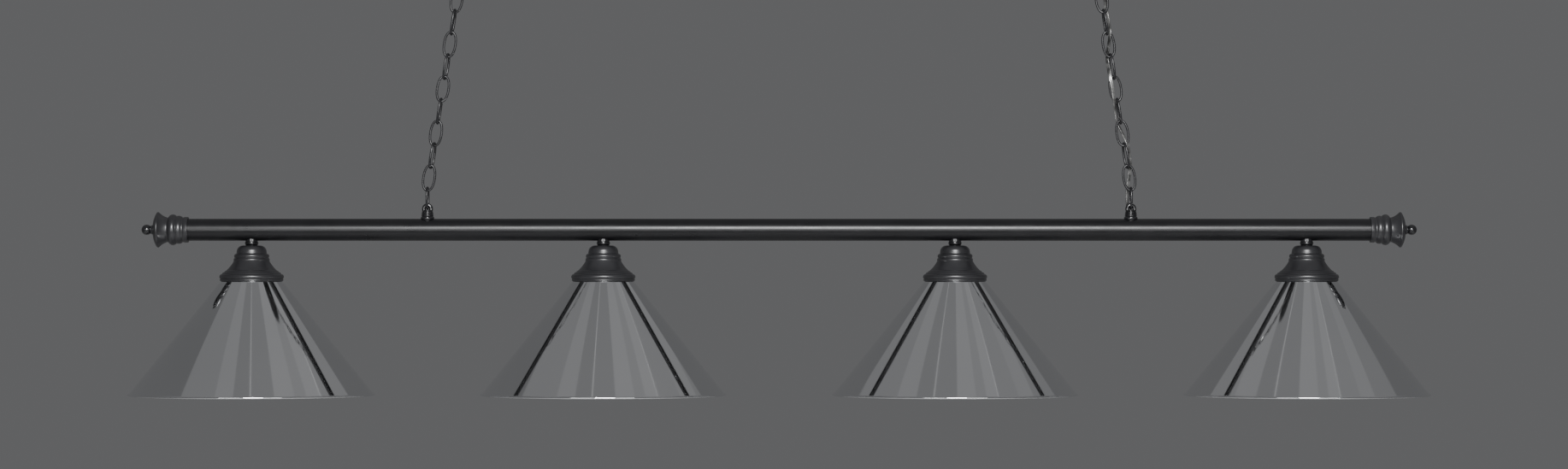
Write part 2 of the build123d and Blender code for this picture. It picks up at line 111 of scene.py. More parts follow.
def noise(tree, place, scale, detail=3.0, roughness=0.5, stretch=(1, 1, 1)):
    """Noise in the object's own space; stretch lengthens it along an axis."""
    mapping = tree.nodes.new("ShaderNodeMapping")
    mapping.inputs["Scale"].default_value = stretch
    tree.links.new(place, mapping.inputs["Vector"])
    texture = tree.nodes.new("ShaderNodeTexNoise")
    texture.inputs["Scale"].default_value = scale
    texture.inputs["Detail"].default_value = detail
    texture.inputs["Roughness"].default_value = roughness
    tree.links.new(mapping.outputs["Vector"], texture.inputs["Vector"])
    return texture.outputs["Fac"]


def spread(tree, value, low, high, start=0.3, end=0.7):
    """Maps a texture's middle range to low..high."""
    ranged = tree.nodes.new("ShaderNodeMapRange")
    ranged.inputs["From Min"].default_value = start
    ranged.inputs["From Max"].default_value = end
    ranged.inputs["To Min"].default_value = low
    ranged.inputs["To Max"].default_value = high
    tree.links.new(value, ranged.inputs["Value"])
    return ranged.outputs["Result"]


def tint(tree, value, dark, light):
    """Blends two colours by a texture."""
    mix = tree.nodes.new("ShaderNodeMix")
    mix.data_type = "RGBA"
    mix.inputs["A"].default_value = (*dark, 1)
    mix.inputs["B"].default_value = (*light, 1)
    tree.links.new(value, mix.inputs["Factor"])
    return mix.outputs["Result"]


def bump(tree, shader, value, distance, strength=1.0, below=None):
    """Adds relief of that height in metres to the shader, over any relief below it."""
    relief = tree.nodes.new("ShaderNodeBump")
    relief.inputs["Strength"].default_value = strength
    relief.inputs["Distance"].default_value = distance
    tree.links.new(value, relief.inputs["Height"])
    if below is not None:
        tree.links.new(below, relief.inputs["Normal"])
    tree.links.new(relief.outputs["Normal"], shader.inputs["Normal"])
    return relief.outputs["Normal"]


def satin_black():
    """Powder coat: nearly black, with fine orange peel and slightly uneven gloss."""
    material, tree, shader, place = new_material("satin_black")
    cloud = noise(tree, place, 14, 4)
    colour = tint(tree, spread(tree, cloud, 0, 1), (0.008, 0.008, 0.009), (0.012, 0.012, 0.0135))
    tree.links.new(colour, shader.inputs["Base Color"])
    smear = noise(tree, place, 40, 5, 0.65)
    tree.links.new(spread(tree, smear, 0.27, 0.35), shader.inputs["Roughness"])
    shader.inputs["Specular IOR Level"].default_value = 0.5
    peel = noise(tree, place, 1500, 2, 0.5)
    below = bump(tree, shader, peel, 0.00003, 0.35)
    bump(tree, shader, noise(tree, place, 420, 2), 0.00004, 0.2, below)
    return material


def cast_black():
    """Powder coat on castings: softer and a little greyer than the tube's, with a fine grain."""
    material, tree, shader, place = new_material("cast_black")
    cloud = noise(tree, place, 30, 4)
    colour = tint(tree, spread(tree, cloud, 0, 1), (0.018, 0.018, 0.02), (0.026, 0.026, 0.029))
    tree.links.new(colour, shader.inputs["Base Color"])
    smear = noise(tree, place, 70, 5, 0.65)
    tree.links.new(spread(tree, smear, 0.3, 0.36), shader.inputs["Roughness"])
    shader.inputs["Specular IOR Level"].default_value = 1.0
    peel = noise(tree, place, 1900, 2, 0.5)
    below = bump(tree, shader, peel, 0.00003, 0.4)
    bump(tree, shader, noise(tree, place, 500, 2), 0.00004, 0.25, below)
    return material


def gloss_black(name, low, high):
    """Enamel: deep black, with faint ripples, scuffs and dust in its gloss."""
    material, tree, shader, place = new_material(name)
    cloud = noise(tree, place, 60, 4)
    colour = tint(tree, spread(tree, cloud, 0, 1), (0.006, 0.006, 0.007), (0.014, 0.014, 0.016))
    tree.links.new(colour, shader.inputs["Base Color"])
    tree.links.new(spread(tree, noise(tree, place, 180, 4, 0.6), low, high), shader.inputs["Roughness"])
    shader.inputs["Specular IOR Level"].default_value = 0.9
    shader.inputs["Coat Weight"].default_value = 0.3
    shader.inputs["Coat Roughness"].default_value = 0.22
    bump(tree, shader, noise(tree, place, 700, 2), 0.00004, 0.3)
    return material


def chain_enamel():
    """Worn enamel on the links: semi-gloss, paler where the coat is thin, with small runs."""
    material, tree, shader, place = new_material("chain_enamel")
    cloud = noise(tree, place, 220, 4)
    colour = tint(tree, spread(tree, cloud, 0, 1), (0.008, 0.008, 0.009), (0.022, 0.022, 0.025))
    tree.links.new(colour, shader.inputs["Base Color"])
    tree.links.new(spread(tree, noise(tree, place, 300, 4, 0.6), 0.26, 0.38), shader.inputs["Roughness"])
    shader.inputs["Specular IOR Level"].default_value = 0.75
    bump(tree, shader, noise(tree, place, 500, 2), 0.00006, 0.35)
    return material


def polished_chrome():
    """Mirror chrome over spun steel: faint spinning rings, a slight wave and light haze."""
    material, tree, shader, place = new_material("polished_chrome")
    shader.inputs["Metallic"].default_value = 1.0
    cloud = noise(tree, place, 5, 3)
    colour = tint(tree, spread(tree, cloud, 0, 1), (0.85, 0.857, 0.87), (0.9, 0.905, 0.915))
    tree.links.new(colour, shader.inputs["Base Color"])
    haze = noise(tree, place, 22, 6, 0.6)
    tree.links.new(spread(tree, haze, 0.035, 0.085), shader.inputs["Roughness"])
    rings = noise(tree, place, 260, 3, 0.6, (0.004, 0.004, 1))
    below = bump(tree, shader, rings, 0.00001, 0.08)
    bump(tree, shader, noise(tree, place, 7, 2), 0.0003, 0.2, below)
    return material


def plain_metal(name, dark, light, low, high, grain, stretch=(1, 1, 1)):
    """Plated or plain metal with cloudy tarnish and a fine grain."""
    material, tree, shader, place = new_material(name)
    shader.inputs["Metallic"].default_value = 1.0
    cloud = noise(tree, place, 90, 5)
    tree.links.new(tint(tree, spread(tree, cloud, 0, 1), dark, light), shader.inputs["Base Color"])
    tree.links.new(spread(tree, noise(tree, place, 150, 5, 0.6), low, high), shader.inputs["Roughness"])
    bump(tree, shader, noise(tree, place, grain, 3, 0.6, stretch), 0.00004, 0.4)
    return material


def moulded(name, dark, light, low, high, grain=900):
    """Moulded plastic or porcelain with a soft mottle."""
    material, tree, shader, place = new_material(name)
    cloud = noise(tree, place, 45, 4)
    tree.links.new(tint(tree, spread(tree, cloud, 0, 1), dark, light), shader.inputs["Base Color"])
    tree.links.new(spread(tree, noise(tree, place, 120, 4), low, high), shader.inputs["Roughness"])
    bump(tree, shader, noise(tree, place, grain, 2), 0.00003, 0.4)
    return material


def frosted_glass():
    """White-coated bulb glass that glows softly when lit from outside."""
    material, tree, shader, place = new_material("frosted_glass")
    cloud = noise(tree, place, 70, 4)
    tree.links.new(tint(tree, spread(tree, cloud, 0, 1), (0.80, 0.80, 0.78), (0.88, 0.88, 0.86)),
                   shader.inputs["Base Color"])
    tree.links.new(spread(tree, noise(tree, place, 200, 4), 0.16, 0.24), shader.inputs["Roughness"])
    shader.inputs["Subsurface Weight"].default_value = 0.3
    shader.inputs["Subsurface Radius"].default_value = (0.004, 0.004, 0.004)
    bump(tree, shader, noise(tree, place, 1200, 2), 0.00002, 0.3)
    return material


def cord_jacket():
    """Clear insulation over tinned strands: silvery, glossy, with the strands' lay showing."""
    material, tree, shader, place = new_material("cord_jacket")
    cloud = noise(tree, place, 60, 4)
    colour = tint(tree, spread(tree, cloud, 0, 1, 0.4, 0.65), (0.05, 0.05, 0.049), (0.42, 0.42, 0.41))
    tree.links.new(colour, shader.inputs["Base Color"])
    shader.inputs["Metallic"].default_value = 0.55
    tree.links.new(spread(tree, noise(tree, place, 300, 3), 0.24, 0.4), shader.inputs["Roughness"])
    shader.inputs["Coat Weight"].default_value = 1.0
    shader.inputs["Coat Roughness"].default_value = 0.06
    strands = noise(tree, place, 900, 2, 0.5, (1, 1, 0.25))
    bump(tree, shader, strands, 0.0001, 0.5)
    return material


def floor_paint():
    """Pale matt floor."""
    material, tree, shader, place = new_material("floor_paint")
    cloud = noise(tree, place, 1.5, 4)
    tree.links.new(tint(tree, spread(tree, cloud, 0, 1), (0.55, 0.55, 0.55), (0.6, 0.6, 0.6)),
                   shader.inputs["Base Color"])
    shader.inputs["Roughness"].default_value = 0.7
    return material


finishes = {
    "black_satin": satin_black(),
    "cast_black": cast_black(),
    "black_gloss": gloss_black("gloss_black", 0.15, 0.24),
    "black_chain": chain_enamel(),
    "chrome": polished_chrome(),
    "zinc_steel": plain_metal("zinc_steel", (0.42, 0.43, 0.45), (0.6, 0.61, 0.62), 0.28, 0.45, 500),
    "brass": plain_metal("brass", (0.5, 0.36, 0.14), (0.75, 0.57, 0.27), 0.25, 0.42, 600),
    "nickel_base": plain_metal("nickel_base", (0.5, 0.49, 0.46), (0.7, 0.69, 0.66), 0.2, 0.36, 700),
    "cord": cord_jacket(),
    "wire": moulded("wire", (0.02, 0.02, 0.02), (0.035, 0.035, 0.035), 0.35, 0.5),
    "socket_body": moulded("porcelain", (0.62, 0.6, 0.55), (0.78, 0.77, 0.73), 0.3, 0.45),
    "ring_plastic": moulded("phenolic", (0.012, 0.012, 0.012), (0.025, 0.024, 0.023), 0.35, 0.5),
    "frosted_glass": frosted_glass(),
}
slot_of = {row["node"]: row["material_slot"] for row in frame["record"]["subparts"]}


def finish_nodes():
    """Gives each CAD node the finish of its slot."""
    for name, node in nodes.items():
        node.data.materials.clear()
        node.data.materials.append(finishes[slot_of[name]])


finish_nodes()


# ---------------------------------------------------------------- turned pieces

def arc(start, through, end, steps=10):
    """Points on the arc of three points, without its start."""
    ax, ay = start
    bx, by = through
    cx, cy = end
    d = 2 * (ax * (by - cy) + bx * (cy - ay) + cx * (ay - by))
    a2 = ax * ax + ay * ay
    b2 = bx * bx + by * by
    c2 = cx * cx + cy * cy
    ux = (a2 * (by - cy) + b2 * (cy - ay) + c2 * (ay - by)) / d
    uy = (a2 * (cx - bx) + b2 * (ax - cx) + c2 * (bx - ax)) / d
    radius = math.hypot(ax - ux, ay - uy)
    first = math.atan2(ay - uy, ax - ux)
    turn = 2 * math.pi
    mid = (math.atan2(by - uy, bx - ux) - first) % turn
    last = (math.atan2(cy - uy, cx - ux) - first) % turn
    if mid > last:
        last -= turn
    points = []
    for i in range(1, steps + 1):
        angle = first + last * i / steps
        points.append((ux + radius * math.cos(angle), uy + radius * math.sin(angle)))
    return points


def weld(piece):
    """Merges the points on the axis and turns all faces outward."""
    work = bmesh.new()
    work.from_mesh(piece.data)
    bmesh.ops.remove_doubles(work, verts=work.verts, dist=1e-6)
    bmesh.ops.dissolve_degenerate(work, edges=work.edges, dist=1e-7)
    bmesh.ops.recalc_face_normals(work, faces=work.faces)
    work.to_mesh(piece.data)
    work.free()


def mesh_piece(name, shape, slot, body, stands_for, sharp, finish=None):
    """A smooth-shaded mesh of (corners, faces) that replaces CAD nodes and rides on a body.
    It takes its slot's finish, or the one named."""
    verts, faces = shape
    mesh = bpy.data.meshes.new(name)
    mesh.from_pydata(verts, [], faces)
    mesh.update()
    mesh.polygons.foreach_set("use_smooth", [True] * len(mesh.polygons))
    mesh.set_sharp_from_angle(angle=math.radians(sharp))
    mesh.materials.append(finishes[finish or slot])
    piece = bpy.data.objects.new(name, mesh)
    bpy.context.scene.collection.objects.link(piece)
    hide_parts(*stands_for)
    weld(piece)
    if body:
        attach(piece, body)
    return piece


def revolve(outline, steps, closed, put):
    """Corners and faces of an outline of (radius, height) turned about its axis. The function put
    makes a corner from (across, deep, height)."""
    count = len(outline)
    verts = []
    for k in range(steps):
        angle = 2 * math.pi * k / steps
        for radius, height in outline:
            verts.append(put(radius * math.cos(angle), radius * math.sin(angle), height))
    faces = []
    runs = count if closed else count - 1
    for k in range(steps):
        here = k * count
        after = (k + 1) % steps * count
        for i in range(runs):
            j = (i + 1) % count
            faces.append((here + i, here + j, after + j, after + i))
    return verts, faces


def tube_faces(faces, first, rounds, section, closed):
    """Adds the faces between the rings of a swept section, with a flat end on each end of an open one."""
    for k in range(rounds if closed else rounds - 1):
        here = first + k * section
        after = first + (k + 1) % rounds * section
        for i in range(section):
            j = (i + 1) % section
            faces.append((here + i, here + j, after + j, after + i))
    if not closed:
        last = first + (rounds - 1) * section
        faces.append(tuple(range(first, first + section)))
        faces.append(tuple(reversed(range(last, last + section))))


def turned(name, outline, place, slot, stands_for, steps, side=0, closed=True, sharp=35, finish=None):
    """Turns an outline in millimetres about a vertical axis, or about the bar (side -1 or 1) with
    the height running outward. The piece rides on the bar."""
    def put(across, deep, height):
        if side:
            return place[0] + side * height * MM, place[1] + across * MM, place[2] + side * deep * MM
        return place[0] + across * MM, place[1] + deep * MM, place[2] + height * MM

    shape = revolve(outline, steps, closed, put)
    mesh_piece(name, shape, slot, "bar", [stands_for], sharp, finish)


SHADE_TOP_R = 28.6
SHADE_RIM_R = 176.1
SHADE_HEIGHT = 183.0
SHADE_DROP = 55.0
SHEET = 1.0
FLANGE_R = 20.1
FLANGE_BEND = 0.6
INNER_TOP = 1.4
INNER_BEND = 0.3
ROLL_R = 1.7
ROLL_GAP = 0.4
ROLL_START = 112
ROLL_STEP = 15
ROLL_POINTS = 19
WALL_ROWS = 24


def make_shades():
    """Cone shades of spun sheet: inner flange, straight wall, and an outward rolled rim."""
    slope = (SHADE_RIM_R - SHADE_TOP_R) / SHADE_HEIGHT
    across = SHEET * math.hypot(1, slope)
    outline = [(FLANGE_R, -SHEET), (FLANGE_R, 0), (SHADE_TOP_R - FLANGE_BEND, 0)]
    for i in range(WALL_ROWS + 1):
        height = FLANGE_BEND + (SHADE_HEIGHT - FLANGE_BEND - ROLL_R) * i / WALL_ROWS
        outline.append((SHADE_TOP_R + slope * height, -height))
    for i in range(ROLL_POINTS):
        angle = math.radians(ROLL_START - ROLL_STEP * i)
        outline.append((SHADE_RIM_R + ROLL_R * math.cos(angle), -SHADE_HEIGHT + ROLL_R * math.sin(angle)))
    foot = SHADE_HEIGHT - ROLL_R - ROLL_GAP
    for i in range(WALL_ROWS + 1):
        height = foot - (foot - INNER_TOP) * i / WALL_ROWS
        outline.append((SHADE_TOP_R - across + slope * height, -height))
    outline.append((SHADE_TOP_R - across - INNER_BEND, -SHEET))
    for i, x in enumerate(drop_x, 1):
        turned(f"shade_shell_{i}", outline, (x, 0, bar_z - SHADE_DROP * MM), "chrome", f"shade_{i}",
               288, sharp=40)


def make_holders():
    """Bell-shaped holders: dome, two narrow rings, concave flare, step and rim bead."""
    outline = [(4.9, -24.8), (4.9, -22.7), (12.9, -22.7)]
    outline += arc((12.9, -22.7), (19.3, -25.9), (21.5, -31.4), 12)
    outline += [(21.7, -33.4)] + arc((21.7, -33.4), (22.0, -34.4), (23.0, -34.9), 5)
    outline += arc((23.0, -34.9), (25.2, -37.8), (24.6, -40.1), 12)
    outline += arc((24.6, -40.1), (24.4, -40.5), (24.6, -40.9), 3)
    outline += arc((24.6, -40.9), (25.9, -43.0), (25.6, -45.0), 8)
    outline += arc((25.6, -45.0), (29.9, -51.8), (36.4, -58.9), 16)
    outline += arc((36.4, -58.9), (37.6, -59.4), (38.8, -60.3), 4)
    outline += arc((38.8, -60.3), (39.1, -61.0), (39.6, -61.4), 3)
    outline += arc((39.6, -61.4), (41.5, -62.2), (42.4, -63.6), 8)
    outline += arc((42.4, -63.6), (42.8, -64.1), (43.4, -64.2), 4)
    outline += arc((43.4, -64.2), (46.3, -67.7), (44.9, -71.0), 16)
    outline += arc((44.9, -71.0), (45.7, -72.6), (44.4, -74.0), 8)
    outline += [(43.2, -72.6), (41.6, -67.4), (38.2, -62.9), (33.4, -58.2)]
    outline += [(27.6, -51.0), (23.7, -45.2), (22.9, -38.0), (19.9, -33.8)]
    outline += arc((19.9, -33.8), (18.2, -27.8), (13.2, -24.8), 8)
    for i, x in enumerate(drop_x, 1):
        turned(f"holder_bell_{i}", outline, (x, 0, bar_z), "black_satin", f"holder_{i}", 160,
               finish="cast_black")


def make_end_caps():
    """Turned end caps: three rings, a waist, and a bell disc that closes toward the finial."""
    outline = [(15.95, 0), (18.1, 0), (18.5, 0.5), (18.5, 5.4), (18.3, 5.8)]
    outline += arc((18.3, 5.8), (17.8, 7.4), (18.3, 8.9), 6)
    outline += arc((18.3, 8.9), (18.8, 9.1), (19.1, 9.5), 3)
    outline += arc((19.1, 9.5), (20.2, 12.6), (19.9, 15.9), 10)
    outline += arc((19.9, 15.9), (19.6, 16.5), (19.8, 17.0), 3)
    outline += arc((19.8, 17.0), (22.2, 22.4), (19.4, 27.6), 16)
    outline += arc((19.4, 27.6), (18.0, 28.8), (17.8, 30.4), 8)
    outline += arc((17.8, 30.4), (20.4, 36.4), (24.6, 41.9), 14)
    outline += arc((24.6, 41.9), (25.6, 43.9), (24.2, 45.4), 10)
    outline += arc((24.2, 45.4), (17.6, 48.6), (9.4, 50.3), 14)
    outline += arc((9.4, 50.3), (7.2, 51.2), (6.4, 53.0), 6)
    outline += [(3.05, 53.0), (3.05, 13.0), (15.95, 13.0)]
    for word, side in (("left", -1), ("right", 1)):
        turned(f"end_bell_{word}", outline, (side * cap_start, 0, bar_z), "black_satin",
               f"end_cap_{word}", 160, side=side, finish="cast_black")


BALL_R = 7.5
BALL_CENTRE = 60.1
BALL_NECK = 137
BALL_ROWS = 24


def make_finials():
    """Glossy ball finials, each with its turned neck and stud."""
    outline = [(0, 6.0), (3.0, 6.0), (3.0, 53.05), (5.4, 53.1)]
    outline += arc((5.4, 53.1), (6.1, 53.6), (5.6, 54.3), 6)
    outline += [(5.05, 54.55)]
    for i in range(BALL_ROWS):
        angle = math.radians(BALL_NECK - BALL_NECK * i / (BALL_ROWS - 1))
        outline.append((BALL_R * math.sin(angle), BALL_CENTRE + BALL_R * math.cos(angle)))
    for word, side in (("left", -1), ("right", 1)):
        turned(f"finial_{word}", outline, (side * cap_start, 0, bar_z), "black_gloss",
               f"ball_finial_{word}", 96, side=side, closed=False)


EYE_WIRE_R = 2.8
EYE_HALF_X = 5.2
EYE_HALF_Z = 5.6
EYE_ROUNDS = 56
EYE_SECTION = 24
EYE_STACK = 16.2
EYE_HEIGHT = 30.0
CEILING_EYE = 5.1
COPE_R = 15.9
COPE_GAP = 0.1
LOOP_STEPS = 96
BAR_LIFT = 1.9
BAR_FOOT_R = 9.3
CEILING_FOOT_R = 8.9


def add_eye(verts, faces, place, up):
    """Thick wire eye in the plane of the bar; up is 1 above the bar and -1 under a canopy."""
    first = len(verts)
    for k in range(EYE_ROUNDS):
        angle = 2 * math.pi * k / EYE_ROUNDS
        c, s = math.cos(angle), math.sin(angle)
        outward = Vector((EYE_HALF_Z * c, 0, EYE_HALF_X * s)).normalized()
        for i in range(EYE_SECTION):
            turn = 2 * math.pi * i / EYE_SECTION
            reach = EYE_WIRE_R * math.cos(turn)
            verts.append((place.x + (EYE_HALF_X * c + outward.x * reach) * MM,
                          EYE_WIRE_R * math.sin(turn) * MM,
                          place.z + up * (EYE_HALF_Z * s + outward.z * reach) * MM))
    tube_faces(faces, first, EYE_ROUNDS, EYE_SECTION, True)


def ring_bulge(bottom, top, inner, outer):
    """Rounded ring of a turned outline, listed upward."""
    return [(inner, bottom)] + arc((inner, bottom), (outer, (bottom + top) / 2), (inner, top), 8)


def make_loop(name, x, eye_z, up, foot, lift, body):
    """Turned loop: bead, three fine rings, a narrow collar and the eye. Heights start at the bead;
    a lift makes the ringed part taller. The one on the bar ends in a saddle on the tube."""
    third = lift / 3
    outline = [(0, 0), (foot - 0.3, 0), (foot, 0.3)]
    outline += ring_bulge(0.4, 5.3, 8.6, 9.85)
    outline += [(8.1, 5.6)]
    outline += ring_bulge(5.8, 7.6 + third, 8.3, 8.8)
    outline += [(8.0, 7.7 + third)]
    outline += ring_bulge(7.8 + third, 9.3 + 2 * third, 8.2, 8.6)
    outline += [(7.8, 9.4 + 2 * third)]
    outline += ring_bulge(9.5 + 2 * third, 10.9 + lift, 7.6, 8.1)
    outline += [(6.3, 11.1 + lift)]
    outline += arc((6.3, 11.1 + lift), (6.8, 12.0 + lift), (6.0, 12.9 + lift), 6)
    outline += [(4.4, 13.3 + lift), (0, 13.3 + lift)]
    bead = eye_z - up * EYE_STACK * MM

    def put(across, deep, height):
        if up > 0 and height == 0:
            tube_top = math.sqrt(max(0.0, COPE_R ** 2 - deep ** 2))
            height = tube_top - (EYE_HEIGHT - EYE_STACK) - COPE_GAP
        return x + across * MM, deep * MM, bead + up * height * MM

    verts, faces = revolve(outline, LOOP_STEPS, False, put)
    add_eye(verts, faces, Vector((x, 0, eye_z)), up)
    mesh_piece(name + "_turned", (verts, faces), "black_gloss", body, [name], 50)


def make_loops():
    """The loops that carry the chains, on the bar and under the canopies."""
    bar_eye = bar_z + EYE_HEIGHT * MM
    ceiling_eye = joint["swing"].z + CEILING_EYE * MM
    for word, side in (("left", -1), ("right", 1)):
        make_loop("bar_loop_" + word, side * hang_x, bar_eye, 1, BAR_FOOT_R, BAR_LIFT, "bar")
        make_loop("ceiling_loop_" + word, side * canopy_x, ceiling_eye, -1, CEILING_FOOT_R, 0.0,
                  "ceiling")


make_shades()
make_holders()
make_end_caps()
make_finials()
make_loops()


# ---------------------------------------------------------------- chain links

WIRE_R = 1.7
OVAL_HALF = 8.2
SIDE_POWER = 0.84
END_POWER = 0.93
REACH = 36.1
SHORT_REACH = 29.75
PLAY = 0.15
OPEN_STRETCH = 0.35
LINKS_PER_CHAIN = 9
LEAN = math.atan2(hang_x - joint["sway"].x, joint["sway"].z - joint["level"].z)
SEAM = 0.008
ROUND_STEPS = 72
WIRE_STEPS = 18
FACING_TURN = 7
FACING_RATE = 2.1
EDGE_TURN = 10
EDGE_SPREAD = 5
EDGE_RATE = 1.7
TOP_TURN = 9
SHORT_TURN = 4


def add_link(verts, faces, centre, upward, face, reach):
    """One oval of round wire, bent so that its ends meet at a seam on one side."""
    across = upward.cross(face)
    first = len(verts)
    for k in range(ROUND_STEPS + 1):
        angle = math.pi + SEAM + (2 * math.pi - 2 * SEAM) * k / ROUND_STEPS
        c, s = math.cos(angle), math.sin(angle)
        u = OVAL_HALF * math.copysign(abs(c) ** SIDE_POWER, c)
        w = reach / 2 * math.copysign(abs(s) ** END_POWER, s)
        along = (-OVAL_HALF * s * across + reach / 2 * c * upward).normalized()
        outward = along.cross(face)
        for i in range(WIRE_STEPS):
            turn = 2 * math.pi * i / WIRE_STEPS
            offset = (outward * math.cos(turn) + face * math.sin(turn)) * WIRE_R
            verts.append(centre + (across * u + upward * w + offset) * MM)
    tube_faces(faces, first, ROUND_STEPS + 1, WIRE_STEPS, False)


def turned_face(upward, face, degrees):
    """A link's facing direction, turned about the chain as links hang in real life."""
    return Quaternion(upward, math.radians(degrees)) @ face


def link_piece(name, rows, body):
    """The links of one CAD node as one piece."""
    verts = []
    faces = []
    for row in rows:
        add_link(verts, faces, *row)
    mesh_piece(name + "_ovals", (verts, faces), "black_chain", body, [name], 50)


def leaning_links(side):
    """Centre, direction, facing and reach of each leaning link, from the bar upward."""
    deep = Vector((0, 1, 0))
    upward = Vector((-side * math.sin(LEAN), 0, math.cos(LEAN)))
    across = deep.cross(upward)
    start = Vector((side * hang_x, 0, joint["level"].z))
    pitch = REACH - 2 * WIRE_R - PLAY
    rows = []
    for i in range(LINKS_PER_CHAIN):
        travel = REACH / 2 - 2 * WIRE_R - PLAY + i * pitch
        reach = REACH
        if side < 0 and i == 0:
            travel -= OPEN_STRETCH / 2
            reach += OPEN_STRETCH
        if i % 2 == 0:
            face = turned_face(upward, deep * side, FACING_TURN * math.sin(FACING_RATE * i))
        else:
            degrees = side * (EDGE_TURN + EDGE_SPREAD * math.sin(EDGE_RATE * i))
            face = turned_face(upward, across, degrees)
        rows.append((start + upward * travel * MM, upward, face, reach))
    return rows


def make_chains():
    """Leaning links, the upright link above them, and the short link on each bar loop."""
    sideways = Vector((1, 0, 0))
    plumb = Vector((0, 0, 1))
    top_z = joint["sway"].z + REACH / 2 * MM
    short_z = joint["level"].z - SHORT_REACH / 2 * MM
    for word, side in (("left", -1), ("right", 1)):
        link_piece("chain_links_" + word, leaning_links(side), "chain_" + word)
        top = Vector((side * joint["sway"].x, 0, top_z))
        face = turned_face(plumb, sideways, side * TOP_TURN)
        link_piece("top_link_" + word, [(top, plumb, face, REACH)], "top_links")
        short = Vector((side * hang_x, 0, short_z))
        face = turned_face(plumb, sideways, side * SHORT_TURN)
        link_piece("bar_link_" + word, [(short, plumb, face, SHORT_REACH)], "bar")


make_chains()


# ---------------------------------------------------------------- cord

CORD_WIDTH = 5.2 * MM
CORD_THICK = 2.5 * MM
HOLE_WIDTH = 3.6 * MM
GROOVE_DEPTH = 0.22
GROOVE_SPREAD = 0.3
SECTION_STEPS = 28
SQUEEZE = 12 * MM
TWIST = ((0.9, 0.021, 0.0), (0.35, 0.053, 1.0))
CORD_START = -6 * MM
CORD_END = bar_z + 4 * MM
BEAD_UP = joint["swing"].z + 21.3 * MM
BEAD_DOWN = bar_z + 13.8 * MM


def cord_points():
    """The cord's route: out of the canopy, down the right chain, into the bar.
    Along the chain a point is (travel from the bar's link, offset along the bar, depth)."""
    start = joint["level"]
    top = joint["sway"]
    upward = Vector((-math.sin(LEAN), 0, math.cos(LEAN)))
    across = Vector((math.cos(LEAN), 0, math.sin(LEAN)))
    upper = [(0, 0, CORD_START), (0, 0, BEAD_UP), (4.0, 4.8, BEAD_UP - 13 * MM),
             (5.2, 5.4, joint["swing"].z - 4 * MM), (5.0, -1.5, top.z + 14 * MM)]
    weave = [(290.0, 5.2, -4.7), (274.0, 4.4, 0.8), (258.0, 4.9, 4.9), (242.0, 5.2, 1.6),
             (226.0, 4.7, -4.9), (209.0, 0.0, -1.0), (193.5, -4.7, 4.9), (177.0, -5.4, 1.5),
             (161.0, -5.1, -4.7), (145.0, -4.4, -5.2), (128.5, -5.0, -4.9), (112.0, -5.6, -0.8),
             (96.0, -4.9, 4.8), (80.0, 0.0, 1.0), (63.5, 4.8, -4.9), (47.0, 5.5, -0.8),
             (31.0, 4.8, 4.8), (15.0, 0.0, 5.5)]
    lower = [(-4.9, 5.0, start.z - 3 * MM), (-5.3, 5.6, start.z - 19 * MM),
             (-4.0, 4.8, BEAD_DOWN + 13 * MM), (0, 0, BEAD_DOWN), (0, 0, CORD_END)]
    points = [Vector((top.x + x * MM, y * MM, z)) for x, y, z in upper]
    points += [start + (upward * s + across * u) * MM + Vector((0, v * MM, 0)) for s, u, v in weave]
    points += [Vector((hang_x + x * MM, y * MM, z)) for x, y, z in lower]
    return points


def smooth_line(points):
    """Points along the NURBS spline that has the given control points."""
    data = bpy.data.curves.new("cord_line", "CURVE")
    data.dimensions = "3D"
    spline = data.splines.new("NURBS")
    spline.points.add(len(points) - 1)
    for point, control in zip(spline.points, points):
        point.co = (*control, 1)
    spline.order_u = 3
    spline.use_endpoint_u = True
    spline.resolution_u = 12
    line = bpy.data.objects.new("cord_line", data)
    bpy.context.scene.collection.objects.link(line)
    bpy.context.view_layer.update()
    mesh = bpy.data.meshes.new_from_object(line.evaluated_get(bpy.context.evaluated_depsgraph_get()))
    found = [v.co.copy() for v in mesh.vertices]
    bpy.data.objects.remove(line)
    bpy.data.meshes.remove(mesh)
    return found


def twin_section(width):
    """Outline of a flat two-core cord: two round lobes with a groove between them."""
    lobe = CORD_THICK / 2
    centre = (width - CORD_THICK) / 2
    section = []
    for i in range(SECTION_STEPS):
        angle = 2 * math.pi * i / SECTION_STEPS
        c, s = math.cos(angle), math.sin(angle)
        waist = 1 - GROOVE_DEPTH * math.exp(-((c / GROOVE_SPREAD) ** 2))
        apart = math.copysign(min(1, abs(c) * 3), c)
        section.append((centre * apart + lobe * c, lobe * s * waist))
    return section


def sweep_cord(name, line, first, last, stands_for):
    """Sweeps the twin section along a stretch of the line; it turns gently as it goes, and it
    narrows where it passes through the loops."""
    top = joint["swing"].z + 6 * MM
    foot = joint["level"].z - 12 * MM
    verts = []
    for k in range(first, last + 1):
        free = min(1.0, max(0.0, min(top - line[k].z, line[k].z - foot) / SQUEEZE))
        width = HOLE_WIDTH + (CORD_WIDTH - HOLE_WIDTH) * free * free * (3 - 2 * free)
        ahead = (line[min(k + 1, len(line) - 1)] - line[max(k - 1, 0)]).normalized()
        side = Vector((0, 1, 0)).cross(ahead).normalized()
        deep = ahead.cross(side)
        turn = sum(size * math.sin(k * rate + shift) for size, rate, shift in TWIST)
        for u, v in twin_section(width):
            a = u * math.cos(turn) - v * math.sin(turn)
            b = u * math.sin(turn) + v * math.cos(turn)
            verts.append(line[k] + side * a + deep * b)
    faces = []
    tube_faces(faces, 0, last - first + 1, SECTION_STEPS, False)
    piece = mesh_piece(name, (verts, faces), "cord", None, stands_for, 60)
    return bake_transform(piece)


